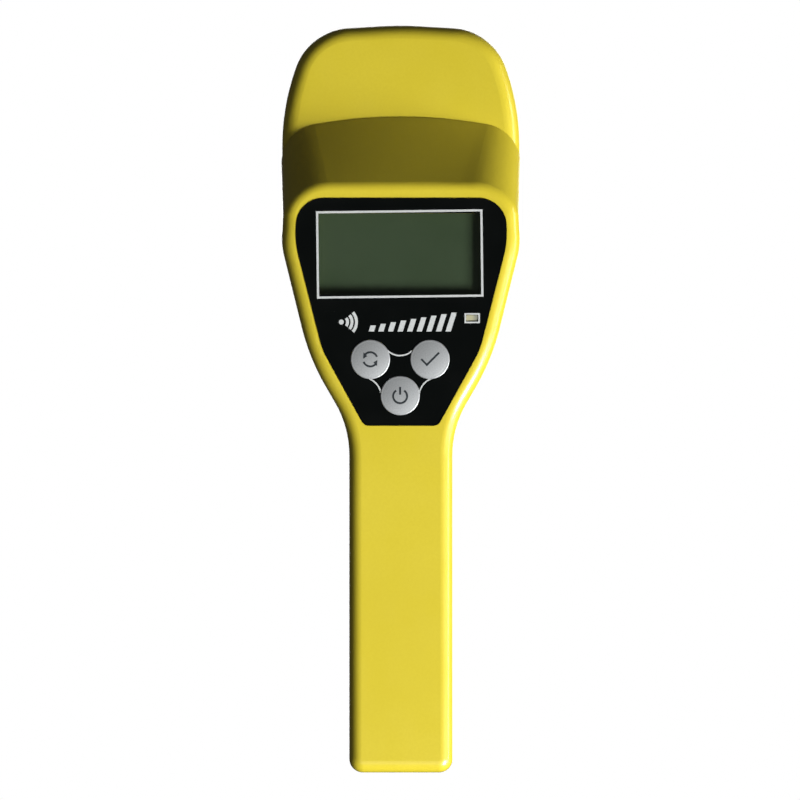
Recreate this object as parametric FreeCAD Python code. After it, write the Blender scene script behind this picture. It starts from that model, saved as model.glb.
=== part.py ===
"""Hand-held speed radar gun: a yellow two-shell wand with a display panel, three keys and a radar head.

Frame: +Z runs up the handle, the display faces -Y, the radar looks along +Y, and +X is to the right of
someone reading the display. The origin is the centre of the handle's flat lower end. Millimetres.
"""

import FreeCAD
import Part
import math
import os

Vector = FreeCAD.Vector

# ---- driving dimensions: the outside ----
HANDLE_HALF = 18.6          # half the handle's width
HANDLE_DEPTH = 30.0
FRONT_Y = -HANDLE_DEPTH / 2
BACK_Y = HANDLE_DEPTH / 2
PARTING_Y = 7.0             # plane where the front and rear shells meet
HEAD_BACK_Y = 42.0
HEAD_HALF = 43.2            # half the widest width
BASE_CORNER_R = 5.0
NECK_Z, NECK_R = 124.2, 38.0                       # handle turns into the steep flank
FLARE_HALF, FLARE_Z, FLARE_R = 32.9, 148.6, 80.0   # steep flank turns into the shallow one
SHOULDER_Z, SHOULDER_R = 190.3, 46.0               # shallow flank turns upright
PANEL_SHOULDER_R = 22.0     # the same turn on the flat front face
PANEL_TOP_HALF, PANEL_TOP_Z, PANEL_TOP_R = 40.0, 210.9, 16.5   # top corner of the flat front face
PANEL_BOW, PANEL_BOW_R = 0.25, 3400.0
CREASE_SIDE_Z, CREASE_R = 231.6, 14.3              # where the sloping band meets the head
CREASE_MID_Z, CREASE_BOW_R = 238.7, 175.0
HEAD_TURN_Z, HEAD_TURN_R = 239.5, 85.0             # head starts to narrow
HEAD_TOP_HALF, HEAD_TOP_SIDE_Z, HEAD_TOP_R = 33.7, 268.0, 21.6
HEAD_TOP_MID_Z, HEAD_BOW_R = 270.0, 120.0
HEAD_TAPER = 1.5            # the head is this much smaller all round at its back
WALL = 2.2
MOUTH_LIP = 0.25            # the rear half's mouth is this much narrower all round than the front half's
FRONT_EDGE_R = 4.4
BACK_EDGE_R = 4.2
HEAD_EDGE_R = 5.4
HEAD_EDGE_Z = 219.0         # the head's rounded front edge starts here, behind the panel block
HEAD_RUN_OUT = 16.0         # and fades away over this height below
HEAD_LEAN, HEAD_LEAN_Z, HEAD_LEAN_R = 2.0, 237.6, 200.0    # the head's front face leans back above here
SLOPE_LOW_Z, SLOPE_LOW_R = 122.0, 30.0     # back of the handle turns outwards under the head
SLOPE_HIGH_Z, SLOPE_HIGH_R = 176.0, 22.0   # and upright again behind the radar
SEAM_WIDTH, SEAM_DEPTH = 0.3, 0.35
BEYOND = 1.0                # how far a cutting shape sticks out past the face it cuts

# ---- driving dimensions: the panel ----
OVERLAY_THICK, OVERLAY_SUNK = 0.3, 0.3     # the sheet lies this far below the shell's face
OVERLAY_POCKET = OVERLAY_SUNK + OVERLAY_THICK
OVERLAY_GAP = 0.2           # space around the sheet's edge
OVERLAY_HALF = [            # x, z and corner radius of the sheet's right half
    (13.3, 124.8, 3.0), (28.3, 152.0, 30.0), (38.2, 191.0, 36.0), (37.1, 206.5, 9.8),
]
DISPLAY_X, DISPLAY_Z = -0.45, 186.35
DISPLAY_WIDE, DISPLAY_HIGH = 58.2, 29.2
WINDOW_LEDGE, WINDOW_THICK, WINDOW_GAP = 2.0, 0.8, 0.1
OPENING_R = 0.5
LED_X, LED_Z = 25.6, 163.3
LED_WIDE, LED_HIGH, LED_LEDGE = 4.3, 2.2, 1.2
LAMP_WIDE, LAMP_HIGH, LAMP_TALL = 3.5, 1.9, 4.9
LCD_WIDE, LCD_HIGH, LCD_CORNER_R, GLASS_THICK = 66.0, 37.0, 0.3, 1.1
LCD_LEDGE = 2.0             # the rear glass stands out by this much above and below for its pins
GASKET_THICK, GASKET_MARGIN = 1.5, 0.6
KEY_R, KEY_GAP, KEY_PROUD = 7.05, 0.08, 0.5
KEY_EDGE_R = 0.35
KEY_FLANGE_R, KEY_FLANGE_THICK = 7.8, 0.8
KEY_REST_GAP = 0.05         # a key's flange clears the shell by this much
KEY_TRAVEL = 0.5
KEYS = {"mode": (-11.0, 148.5), "set": (10.4, 148.5), "on": (-0.3, 135.5)}

# ---- driving dimensions: the circuit board ----
INNER_FRONT_Y = FRONT_Y + WALL
LCD_FRONT_Y = INNER_FRONT_Y + GASKET_THICK
BOARD_Y, BOARD_THICK = -8.6, 1.6
BOARD_BACK_Y = BOARD_Y + BOARD_THICK
BOARD_BOTTOM_Z = 128.0
BOARD_INSET = 3.6
BOARD_POSTS = [(36.2, 188.0), (25.5, 153.0), (14.5, 132.5)]
POST_R, PILOT_R, BOARD_HOLE_R = 2.2, 0.9, 1.15
PILOT_LONG = 2.9            # depth of the screw holes in the posts
POST_CLEARANCE = 0.4        # space between the board and a case screw's post
PLUNGER_R, PLUNGER_FLOAT = 1.5, 0.2
SWITCH_SIDE, SWITCH_THICK = 6.0, 1.5
PIN_COUNT, PIN_PITCH, PIN_WIDE, PIN_THICK, PIN_GRIP = 20, 2.54, 0.5, 0.3, 1.2
BOARD_CHIPS = [             # x, z, width, height and thickness of each flat chip
    (0.0, 176.0, 12.0, 12.0, 1.6), (17.0, 180.0, 8.0, 10.0, 1.4), (18.0, 196.0, 5.0, 6.5, 1.6),
    (-6.0, 196.0, 5.0, 4.0, 1.5), (4.0, 192.0, 4.5, 2.0, 1.2), (-14.0, 157.0, 6.5, 6.5, 2.2),
    (8.0, 158.0, 5.0, 4.0, 1.5), (14.0, 146.0, 6.0, 5.0, 1.6), (-4.0, 148.0, 3.0, 2.0, 1.0),
]
BOARD_CAPACITORS = [(-12.0, 144.0), (2.0, 163.5)]
CAPACITOR_R, CAPACITOR_TALL = 3.1, 6.5
BATTERY_SOCKET_X, BATTERY_SOCKET_Z = -6.0, 130.0       # centre of the socket, and its lower end
BATTERY_SOCKET_WIDE, BATTERY_SOCKET_DEEP, BATTERY_SOCKET_HIGH = 9.0, 4.5, 5.0
RADAR_SOCKET_X, RADAR_SOCKET_Z = 8.0, 204.0            # centre of the socket, and its upper end
RADAR_SOCKET_WIDE, RADAR_SOCKET_DEEP, RADAR_SOCKET_HIGH = 10.0, 4.0, 4.0
BUZZER_PLACE = (-22.0, BOARD_BACK_Y, 182.0)
BUZZER_R, BUZZER_TALL, BUZZER_EDGE_R, SOUND_HOLE_R = 6.0, 7.0, 0.6, 1.0

# ---- driving dimensions: case screws and radar ----
SCREW_FIT = 0.02            # gap between a screw and the hole it bites in
SCREW_END_GAP = 0.3         # a screw stops this far before the end of its hole
CASE_SCREWS = [(-30.0, 160.0), (30.0, 160.0), (-35.2, 224.0), (35.2, 224.0), (0.0, 122.5)]
CASE_POST_R, CASE_PILOT_R, CASE_HOLE_R, CASE_RECESS_R = 3.0, 1.3, 1.7, 3.1
CASE_TUBE_WALL = 0.9
CASE_LEDGE = 4.0            # shell left between the parting plane and a case screw's head
CASE_BITE = 4.6             # how far a case screw's hole runs into its post
RADOME_WIDE, RADOME_HIGH, RADOME_Z, RADOME_R = 58.0, 62.0, 223.0, 9.0
RADOME_REBATE, RADOME_LIP, RADOME_GAP = 1.2, 3.0, 0.1
RADOME_GASKET = 0.3
HORN_MOUTH, HORN_THROAT, HORN_WALL, HORN_CORNER_R = 50.0, 22.0, 1.5, 1.0
HORN_FLANGE_THICK, HORN_POST, HORN_POST_R = 1.6, 2.9, 2.4
HORN_FLANGE_MARGIN_X, HORN_FLANGE_MARGIN_Z = 2.5, 3.5
HORN_SCREW_X, HORN_SCREW_Z = 30.5, 25.5
HORN_TUBE_SPACE = 1.3       # space the horn leaves around a case screw's recess
MODULE_SIDE, MODULE_CORNER_R, MODULE_THICK, MODULE_Y = 38.0, 1.5, 7.0, 11.5
MODULE_SCREW, MODULE_SCREW_R, MODULE_BITE, MODULE_HOLE_LONG = 16.8, 0.75, 3.5, 4.0
HEADER_X, HEADER_WIDE, HEADER_HIGH, HEADER_TALL = 6.0, 14.0, 3.0, 3.0

# ---- driving dimensions: the handle's inside ----
CELL_R, CELL_LONG, CELL_X, CELL_Y = 7.1, 49.2, 7.55, 4.0
CELL_NUB_R, CELL_NUB, CELL_EDGE_R, CELL_SPACE = 2.6, 1.3, 0.6, 0.25
CONTACT_THICK, CONTACT_HALF, CONTACT_BEND_HALF, CONTACT_DEEP = 0.3, 4.5, 2.2, 6.0
TRAY_HALF, TRAY_FRONT_Y, TRAY_BACK_Y = 15.9, -4.6, 9.4
TRAY_BOTTOM_Z, TRAY_TOP_Z = 12.4, 118.2
TRAY_END = 1.4              # thickness of the tray's two ends
LEAD_Y, LEAD_RISE = -2.0, 4.0                          # the battery leads leave the tray's top here
LEAD_R, LEAD_BEND, RADAR_LEAD_R, RADAR_LEAD_BEND = 0.65, 2.0, 1.0, 1.6
DOOR_HALF, DOOR_TOP_Z, DOOR_GAP = 13.35, 110.0, 0.15
DOOR_TONGUE, DOOR_TONGUE_THICK = 1.45, 0.95
GRIP_HALF, GRIP_DEEP, GRIP_Z, GRIP_PITCH, GRIP_RIBS = 7.5, 0.5, 88.0, 2.4, 6
INSERT_R, INSERT_BORE_R, INSERT_LONG, INSERT_BOSS_R, INSERT_CAP = 4.2, 2.6, 9.0, 6.4, 1.0


# ---- outlines ----
def in_front_view(y):
    """Places a flat outline's (x, z) points in the plane at depth y."""
    return lambda x, z: Vector(x, y, z)


def in_side_view(x):
    """Places a flat outline's (y, z) points in the plane at x."""
    return lambda y, z: Vector(x, y, z)


def mirrored(half):
    """A whole outline from its right half, listed upwards. A corner on the centre line isn't repeated."""
    return half + [(-x, z, r) for x, z, r in reversed(half) if x > 0]


def inset(corners, distance):
    """The outline moved inwards by distance. Its round corners keep their centres."""
    moved = []
    for i, (x, z, r) in enumerate(corners):
        before = corners[i - 1]
        after = corners[(i + 1) % len(corners)]
        into = Vector(x - before[0], z - before[1], 0).normalize()
        out = Vector(after[0] - x, after[1] - z, 0).normalize()
        normal_in = Vector(-into.y, into.x, 0)
        normal_out = Vector(-out.y, out.x, 0)
        shift = (normal_in + normal_out) * (distance / (1 + normal_in.dot(normal_out)))
        turns_left = into.cross(out).z > 0
        radius = r - distance if turns_left else r + distance
        moved.append((x + shift.x, z + shift.y, max(radius, 0.2) if r else 0))
    return moved


def rounded_wire(corners, place):
    """A closed wire through (a, b, radius) corners, with an arc at each corner that has a radius."""
    count = len(corners)
    stops = []
    for i, (a, b, r) in enumerate(corners):
        here = Vector(a, b, 0)
        back = (Vector(*corners[i - 1][:2], 0) - here).normalize()
        ahead = (Vector(*corners[(i + 1) % count][:2], 0) - here).normalize()
        half_angle = back.getAngle(ahead) / 2
        if r == 0:
            stops.append((here, None, here))
            continue
        reach = r / math.tan(half_angle)
        inward = (back + ahead).normalize()
        middle = here + inward * (r / math.sin(half_angle) - r)
        stops.append((here + back * reach, middle, here + ahead * reach))
    edges = []
    for i, (start, middle, end) in enumerate(stops):
        if middle is not None:
            arc = Part.Arc(place(start.x, start.y), place(middle.x, middle.y), place(end.x, end.y))
            edges.append(arc.toShape())
        follow = stops[(i + 1) % count][0]
        edges.append(Part.LineSegment(place(end.x, end.y), place(follow.x, follow.y)).toShape())
    return Part.Wire(edges)


def plate(corners, y, thick):
    """A flat plate of that outline, from depth y to depth y + thick."""
    return Part.Face(rounded_wire(corners, in_front_view(y))).extrude(Vector(0, thick, 0))


def rectangle(wide, high, radius, x=0.0, z=0.0):
    """Corners of a rectangle centred on (x, z)."""
    return [(x + sx * wide / 2, z + sz * high / 2, radius) for sx, sz in ((1, -1), (1, 1), (-1, 1), (-1, -1))]


def block(x0, x1, y0, y1, z0, z1):
    """A box between two corners."""
    return Part.makeBox(x1 - x0, y1 - y0, z1 - z0, Vector(x0, y0, z0))


def rod(radius, x, y, z, long):
    """A cylinder along +Y that starts at (x, y, z)."""
    return Part.makeCylinder(radius, long, Vector(x, y, z), Vector(0, 1, 0))


def joined(solids):
    """One solid from several that touch or overlap."""
    whole = solids[0]
    for solid in solids[1:]:
        whole = whole.fuse(solid)
    return whole.removeSplitter()


def without(solid, *tools):
    """The solid with every tool cut out of it."""
    for tool in tools:
        solid = solid.cut(tool)
    return solid


LOWER_HALF = [
    (HANDLE_HALF, 0.0, BASE_CORNER_R),
    (HANDLE_HALF, NECK_Z, NECK_R),
    (FLARE_HALF, FLARE_Z, FLARE_R),
]
FRONT_OUTLINE = mirrored(LOWER_HALF + [
    (HEAD_HALF, SHOULDER_Z, PANEL_SHOULDER_R),
    (PANEL_TOP_HALF, PANEL_TOP_Z, PANEL_TOP_R),
    (0.0, PANEL_TOP_Z + PANEL_BOW, PANEL_BOW_R),
])
CREASE_OUTLINE = mirrored(LOWER_HALF + [
    (HEAD_HALF, SHOULDER_Z, SHOULDER_R),
    (HEAD_HALF, CREASE_SIDE_Z, CREASE_R),
    (0.0, CREASE_MID_Z, CREASE_BOW_R),
])
SILHOUETTE = mirrored(LOWER_HALF + [
    (HEAD_HALF, SHOULDER_Z, SHOULDER_R),
    (HEAD_HALF, HEAD_TURN_Z, HEAD_TURN_R),
    (HEAD_TOP_HALF, HEAD_TOP_SIDE_Z, HEAD_TOP_R),
    (0.0, HEAD_TOP_MID_Z, HEAD_BOW_R),
])
OVERLAY_OUTLINE = mirrored(OVERLAY_HALF)


# ---- the two shells ----
def front_block(depth):
    """The solid shape of the front half, shrunk by depth on every side but the parting plane."""
    near = rounded_wire(inset(FRONT_OUTLINE, depth), in_front_view(FRONT_Y + depth))
    far = rounded_wire(inset(CREASE_OUTLINE, depth), in_front_view(PARTING_Y))
    return Part.makeLoft([near, far], True, True)


def side_profile(depth):
    """The rear half seen from the side, shrunk by depth, as (y, z) corners."""
    above = HEAD_TOP_MID_Z + BEYOND
    return [
        (PARTING_Y + depth, depth, 0),
        (BACK_Y - depth, depth, 0),
        (BACK_Y - depth, SLOPE_LOW_Z + depth / 2, SLOPE_LOW_R + depth),
        (HEAD_BACK_Y - depth, SLOPE_HIGH_Z + depth / 2, SLOPE_HIGH_R - depth),
        (HEAD_BACK_Y - depth, above, 0),
        (PARTING_Y + depth + HEAD_LEAN, above, 0),
        (PARTING_Y + depth, HEAD_LEAN_Z - depth, HEAD_LEAN_R),
    ]


def rear_block(depth):
    """The solid shape of the rear half, shrunk by depth on every side."""
    near = rounded_wire(inset(SILHOUETTE, depth), in_front_view(PARTING_Y))
    smaller = inset(SILHOUETTE, depth + HEAD_TAPER)
    on_base = [(x, depth if z < NECK_Z / 2 else z, r) for x, z, r in smaller]
    far = rounded_wire(on_base, in_front_view(HEAD_BACK_Y))
    tapered = Part.makeLoft([near, far], True, True)
    reach = HEAD_HALF + BEYOND
    profile = Part.Face(rounded_wire(side_profile(depth), in_side_view(-reach)))
    return tapered.common(profile.extrude(Vector(2 * reach, 0, 0)))


def edges_where(solid, test):
    """The solid's edges that pass the test, which is given each edge's middle and its two ends."""
    chosen = []
    for edge in solid.Edges:
        middle = edge.valueAt((edge.FirstParameter + edge.LastParameter) / 2)
        if test(middle, [middle] + [v.Point for v in edge.Vertexes]):
            chosen.append(edge)
    return chosen


def crosses_body(middle, points):
    """Whether an edge runs level from one side of the body to the other, as the back slope's bends do."""
    same_height = all(abs(p.z - middle.z) < 0.001 for p in points)
    return abs(middle.x) < 1 and same_height and BASE_CORNER_R < middle.z < HEAD_TOP_SIDE_Z


def seam_groove(outline, y):
    """The narrow ring cut into a shell's edge, so that the parting line shows."""
    ring = plate(inset(outline, -BEYOND), y, SEAM_WIDTH)
    return ring.cut(plate(inset(outline, SEAM_DEPTH), y, SEAM_WIDTH))


def front_outer():
    """The front half's outside, with its front edge rounded."""
    solid = front_block(0)
    rim = edges_where(solid, lambda m, points: all(abs(p.y - FRONT_Y) < 0.001 for p in points))
    return solid.makeFillet(FRONT_EDGE_R, rim)


def edge_run_out(side):
    """The cut that fades the head's rounded front edge away below HEAD_EDGE_Z, on one side.

    Its section at the top is what the rounding removes there. Going down it moves off the corner.
    """
    slope = HEAD_TAPER / (HEAD_BACK_Y - PARTING_Y)
    tilt = math.atan(slope)
    r = HEAD_EDGE_R
    centre_x = HEAD_HALF - slope * r - r / math.cos(tilt)
    centre_y = PARTING_Y + r
    halfway = (tilt - math.pi / 2) / 2
    side_x, side_y = centre_x + r * math.cos(tilt), centre_y + r * math.sin(tilt)
    arc_x, arc_y = centre_x + r * math.cos(halfway), centre_y + r * math.sin(halfway)
    far = 2 * r
    arc = Part.Arc(*[Vector(side * x, y, HEAD_EDGE_Z)
                     for x, y in ((side_x, side_y), (arc_x, arc_y), (centre_x, PARTING_Y))])
    rest = Part.makePolygon([Vector(side * x, y, HEAD_EDGE_Z) for x, y in (
        (centre_x, PARTING_Y), (centre_x, PARTING_Y - far), (HEAD_HALF + far, PARTING_Y - far),
        (HEAD_HALF + far, side_y), (side_x, side_y))])
    outward = 1.05 * r * (1 - math.sqrt(0.5))
    section = Part.Face(Part.Wire([arc.toShape()] + rest.Edges))
    return section.extrude(Vector(side * outward, -outward, -HEAD_RUN_OUT))


def rear_outer():
    """The rear half's outside, with the back edges and the head's front edge rounded."""
    solid = rear_block(0)
    back = edges_where(solid, lambda m, points: (
        all(p.y > BACK_Y - 0.1 for p in points) and not crosses_body(m, points)))
    solid = solid.makeFillet(BACK_EDGE_R, back)
    reach = HEAD_TOP_MID_Z
    head = solid.common(block(-reach, reach, 0, reach, HEAD_EDGE_Z, HEAD_EDGE_Z + reach))
    below = solid.common(block(-reach, reach, 0, reach, -BEYOND, HEAD_EDGE_Z))
    front = edges_where(head, lambda m, points: (
        all(p.y < PARTING_Y + HEAD_LEAN for p in points) and not crosses_body(m, points)))
    below = without(below, edge_run_out(-1), edge_run_out(1))
    return joined([head.makeFillet(HEAD_EDGE_R, front), below])


def front_shell():
    """The front half: handle front, display panel and the band that slopes back to the head."""
    outer = front_outer()
    shell = outer.cut(front_block(WALL))
    case_posts = [rod(CASE_POST_R, x, FRONT_Y, z, PARTING_Y - FRONT_Y).common(outer) for x, z in CASE_SCREWS]
    board_posts = [rod(POST_R, x, INNER_FRONT_Y, z, BOARD_Y - INNER_FRONT_Y) for x, z in board_post_places()]
    boss = Part.makeCylinder(INSERT_BOSS_R, INSERT_LONG + INSERT_CAP)
    shell = joined([shell, boss] + case_posts + board_posts)
    pocket = plate(inset(OVERLAY_OUTLINE, -OVERLAY_GAP), FRONT_Y, OVERLAY_POCKET)
    holes = [rod(KEY_R + KEY_GAP, x, FRONT_Y, z, WALL) for x, z in KEYS.values()]
    holes += [plate(corners, FRONT_Y, WALL) for corners in (display_opening(), led_opening())]
    ledge_y = FRONT_Y + OVERLAY_POCKET
    holes += [plate(inset(display_opening(), -WINDOW_LEDGE), ledge_y, WINDOW_THICK)]
    holes += [plate(inset(led_opening(), -LED_LEDGE), ledge_y, WINDOW_THICK)]
    pilots = [rod(PILOT_R, x, BOARD_Y - PILOT_LONG, z, PILOT_LONG) for x, z in board_post_places()]
    pilots += [rod(CASE_PILOT_R, x, PARTING_Y - CASE_BITE, z, CASE_BITE) for x, z in CASE_SCREWS]
    socket = Part.makeCylinder(INSERT_R, INSERT_LONG)
    groove = seam_groove(CREASE_OUTLINE, PARTING_Y - SEAM_WIDTH)
    return without(shell, pocket, socket, groove, *holes, *pilots)


def rear_shell():
    """The rear half: handle back, the slope under the head, the radar head and its radome opening."""
    outer = rear_outer()
    mouth = plate(inset(CREASE_OUTLINE, WALL + MOUTH_LIP), PARTING_Y, WALL + BEYOND)
    shell = outer.cut(rear_block(WALL).fuse(mouth))
    tubes = [rod(CASE_RECESS_R + CASE_TUBE_WALL, x, PARTING_Y, z, HEAD_BACK_Y - PARTING_Y).common(outer)
             for x, z in CASE_SCREWS]
    inner_back = HEAD_BACK_Y - WALL
    post_y = inner_back - HORN_POST
    posts = [rod(HORN_POST_R, x, post_y, z, HEAD_BACK_Y - post_y) for x, z in horn_screw_places()]
    shell = joined([shell] + tubes + posts)
    seat = plate(radome_outline(0), HEAD_BACK_Y - RADOME_REBATE, RADOME_REBATE)
    opening = plate(radome_outline(RADOME_LIP), inner_back - BEYOND, WALL + BEYOND)
    ledge_y = PARTING_Y + CASE_LEDGE
    holes = [rod(CASE_HOLE_R, x, PARTING_Y, z, CASE_LEDGE) for x, z in CASE_SCREWS]
    holes += [rod(CASE_RECESS_R, x, ledge_y, z, HEAD_BACK_Y - ledge_y) for x, z in CASE_SCREWS]
    holes += [rod(PILOT_R, x, post_y, z, HORN_POST) for x, z in horn_screw_places()]
    return without(shell, seat, opening, *door_channel(), *holes)


# ---- the battery compartment ----
def door_channel():
    """The slot in the handle's back for the door and for the tongues along the door's sides."""
    inner_y = BACK_Y - WALL - DOOR_GAP
    half = DOOR_HALF + DOOR_GAP
    top = DOOR_TOP_Z + DOOR_GAP
    tongue_y = BACK_Y - WALL + DOOR_TONGUE_THICK + DOOR_GAP
    tongue_half = half + DOOR_TONGUE
    return [
        block(-half, half, inner_y, BACK_Y + BEYOND, -BEYOND, top),
        block(-tongue_half, tongue_half, inner_y, tongue_y, -BEYOND, top),
    ]


def battery_door():
    """The door that slides down the handle's back, with a ribbed thumb grip."""
    inner_y = BACK_Y - WALL
    outer = rear_outer()
    panel = outer.common(block(-DOOR_HALF, DOOR_HALF, inner_y, BACK_Y + BEYOND, -BEYOND, DOOR_TOP_Z))
    tongue_half = DOOR_HALF + DOOR_TONGUE
    tongue_y = inner_y + DOOR_TONGUE_THICK
    tongues = block(-tongue_half, tongue_half, inner_y, tongue_y, BASE_CORNER_R, DOOR_TOP_Z)
    grip = [block(-GRIP_HALF, GRIP_HALF, BACK_Y - GRIP_DEEP, BACK_Y + BEYOND, z, z + GRIP_PITCH / 2)
            for z in (GRIP_Z + i * GRIP_PITCH for i in range(GRIP_RIBS))]
    return without(joined([panel, tongues]), *grip)


def battery_tray():
    """The open tray that holds two pairs of cells end to end."""
    low = TRAY_BOTTOM_Z + TRAY_END
    high = TRAY_TOP_Z - TRAY_END
    tray = block(-TRAY_HALF, TRAY_HALF, TRAY_FRONT_Y, TRAY_BACK_Y, TRAY_BOTTOM_Z, TRAY_TOP_Z)
    groove_r = CELL_R + CELL_SPACE
    grooves = [Part.makeCylinder(groove_r, high - low, Vector(x, CELL_Y, low)) for x in (-CELL_X, CELL_X)]
    grooves += [block(x - groove_r, x + groove_r, CELL_Y, TRAY_BACK_Y, low, high) for x in (-CELL_X, CELL_X)]
    return without(tray, *grooves)


def cell_stack_bottom():
    """Height of the lower end of the cells, which stand centred between the two contact plates."""
    space = TRAY_TOP_Z - TRAY_BOTTOM_Z - 2 * TRAY_END
    return TRAY_BOTTOM_Z + TRAY_END + (space - 2 * (CELL_LONG + CELL_NUB)) / 2


def aa_cells():
    """Four AA cells in two columns, one column upside down."""
    cells = []
    for x, up in ((-CELL_X, True), (CELL_X, False)):
        for i in range(2):
            z = cell_stack_bottom() + i * (CELL_LONG + CELL_NUB)
            can_z = z if up else z + CELL_NUB
            nub_z = z + CELL_LONG if up else z
            can = Part.makeCylinder(CELL_R, CELL_LONG, Vector(x, CELL_Y, can_z))
            can = can.makeFillet(CELL_EDGE_R, can.Edges)
            nub = Part.makeCylinder(CELL_NUB_R, CELL_NUB, Vector(x, CELL_Y, nub_z))
            cells.append(can.fuse(nub))
    return Part.makeCompound(cells)


def battery_contacts():
    """The bent spring-metal contact at each end of both columns."""
    low = TRAY_BOTTOM_Z + TRAY_END
    high = TRAY_TOP_Z - TRAY_END
    spring = cell_stack_bottom() - low
    strips = []
    for x in (-CELL_X, CELL_X):
        for base, way in ((low, 1), (high, -1)):
            flat = base + way * CONTACT_THICK
            corners = [
                (x - CONTACT_HALF, base, 0), (x + CONTACT_HALF, base, 0), (x + CONTACT_HALF, flat, 0),
                (x + CONTACT_BEND_HALF, flat, 0), (x, base + way * spring, 0),
                (x - CONTACT_BEND_HALF, flat, 0), (x - CONTACT_HALF, flat, 0),
            ]
            wire = rounded_wire(corners, in_front_view(CELL_Y - CONTACT_DEEP / 2))
            strips.append(Part.Face(wire).extrude(Vector(0, CONTACT_DEEP, 0)))
    return Part.makeCompound(strips)


# ---- the display panel ----
def display_opening():
    return rectangle(DISPLAY_WIDE, DISPLAY_HIGH, OPENING_R, DISPLAY_X, DISPLAY_Z)


def led_opening():
    return rectangle(LED_WIDE, LED_HIGH, OPENING_R, LED_X, LED_Z)


def board_post_places():
    return [(side * x, z) for x, z in BOARD_POSTS for side in (-1, 1)]


def graphic_overlay():
    """The thin printed sheet, open over the display, the lamp and the keys."""
    sheet = plate(OVERLAY_OUTLINE, FRONT_Y + OVERLAY_SUNK, OVERLAY_THICK)
    keys = [rod(KEY_R + KEY_GAP, x, FRONT_Y, z, WALL) for x, z in KEYS.values()]
    openings = [plate(corners, FRONT_Y, WALL) for corners in (display_opening(), led_opening())]
    return without(sheet, *keys, *openings)


def window(opening, ledge):
    """A clear plate that sits on the ledge around an opening."""
    return plate(inset(opening, WINDOW_GAP - ledge), FRONT_Y + OVERLAY_POCKET, WINDOW_THICK)


def lcd_outline(shorter):
    """The display glass's outline, made shorter at its upper and lower ends."""
    return rectangle(LCD_WIDE, LCD_HIGH - 2 * shorter, LCD_CORNER_R, DISPLAY_X, DISPLAY_Z)


def lcd_gasket():
    """The foam frame between the shell and the display glass."""
    frame = plate(lcd_outline(LCD_LEDGE), INNER_FRONT_Y, GASKET_THICK)
    return frame.cut(plate(inset(display_opening(), -GASKET_MARGIN), INNER_FRONT_Y, GASKET_THICK))


def lcd_front_glass():
    return plate(lcd_outline(LCD_LEDGE), LCD_FRONT_Y, GLASS_THICK)


def lcd_rear_glass():
    return plate(lcd_outline(0), LCD_FRONT_Y + GLASS_THICK, GLASS_THICK)


def lcd_pins():
    """Two rows of pins that clip on the rear glass and stand on the board."""
    ledge_y = LCD_FRONT_Y + GLASS_THICK
    pins = []
    for side in (-1, 1):
        edge = DISPLAY_Z + side * LCD_HIGH / 2
        for i in range(PIN_COUNT):
            x = DISPLAY_X + (i - (PIN_COUNT - 1) / 2) * PIN_PITCH
            inner, outer = sorted((edge - side * PIN_GRIP, edge + side * PIN_THICK))
            low, high = sorted((edge, edge + side * PIN_THICK))
            left, right = x - PIN_WIDE / 2, x + PIN_WIDE / 2
            clip = block(left, right, ledge_y - PIN_THICK, ledge_y, inner, outer)
            leg = block(left, right, ledge_y - PIN_THICK, BOARD_Y, low, high)
            pins.append(clip.fuse(leg).removeSplitter())
    return Part.makeCompound(pins)


def key_cap(x, z):
    """A round key with a flange behind the shell, which keeps it in."""
    top_y = FRONT_Y - KEY_PROUD
    flange_y = INNER_FRONT_Y + KEY_REST_GAP
    cap = rod(KEY_R, x, top_y, z, flange_y - top_y)
    face_edge = edges_where(cap, lambda m, points: all(abs(p.y - top_y) < 0.001 for p in points))
    cap = cap.makeFillet(KEY_EDGE_R, face_edge)
    return joined([cap, rod(KEY_FLANGE_R, x, flange_y, z, KEY_FLANGE_THICK)])


def plunger_top():
    """Depth of the face where a key rests on its switch's plunger."""
    return INNER_FRONT_Y + KEY_REST_GAP + KEY_FLANGE_THICK


def key_plunger(x, z):
    """The switch's moving plunger, which the key pushes."""
    return rod(PLUNGER_R, x, plunger_top(), z, BOARD_Y - KEY_TRAVEL - PLUNGER_FLOAT - plunger_top())


def tact_switches():
    """The three switch bodies on the board."""
    half = SWITCH_SIDE / 2
    bodies = []
    for x, z in KEYS.values():
        body = block(x - half, x + half, BOARD_Y - SWITCH_THICK, BOARD_Y, z - half, z + half)
        bodies.append(body.cut(rod(PLUNGER_R + KEY_GAP, x, BOARD_Y - SWITCH_THICK, z, SWITCH_THICK)))
    return Part.makeCompound(bodies)


def indicator_led():
    """The status lamp on the board behind its small window."""
    return plate(rectangle(LAMP_WIDE, LAMP_HIGH, 0, LED_X, LED_Z), BOARD_Y - LAMP_TALL, LAMP_TALL)


def main_board():
    """The circuit board, notched around the case posts."""
    board = plate(inset(FRONT_OUTLINE, BOARD_INSET), BOARD_Y, BOARD_THICK)
    below = block(-HEAD_HALF, HEAD_HALF, BOARD_Y - BEYOND, BOARD_BACK_Y + BEYOND, -BEYOND, BOARD_BOTTOM_Z)
    holes = [rod(BOARD_HOLE_R, x, BOARD_Y, z, BOARD_THICK) for x, z in board_post_places()]
    notches = [rod(CASE_POST_R + POST_CLEARANCE, x, BOARD_Y, z, BOARD_THICK) for x, z in CASE_SCREWS]
    return without(board, below, *holes, *notches)


def board_chips():
    """The parts soldered to the back of the board: flat chips and two upright capacitors."""
    chips = [
        plate(rectangle(wide, high, 0, x, z), BOARD_BACK_Y, thick) for x, z, wide, high, thick in BOARD_CHIPS]
    cans = [rod(CAPACITOR_R, x, BOARD_BACK_Y, z, CAPACITOR_TALL) for x, z in BOARD_CAPACITORS]
    return Part.makeCompound(chips + cans)


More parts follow.
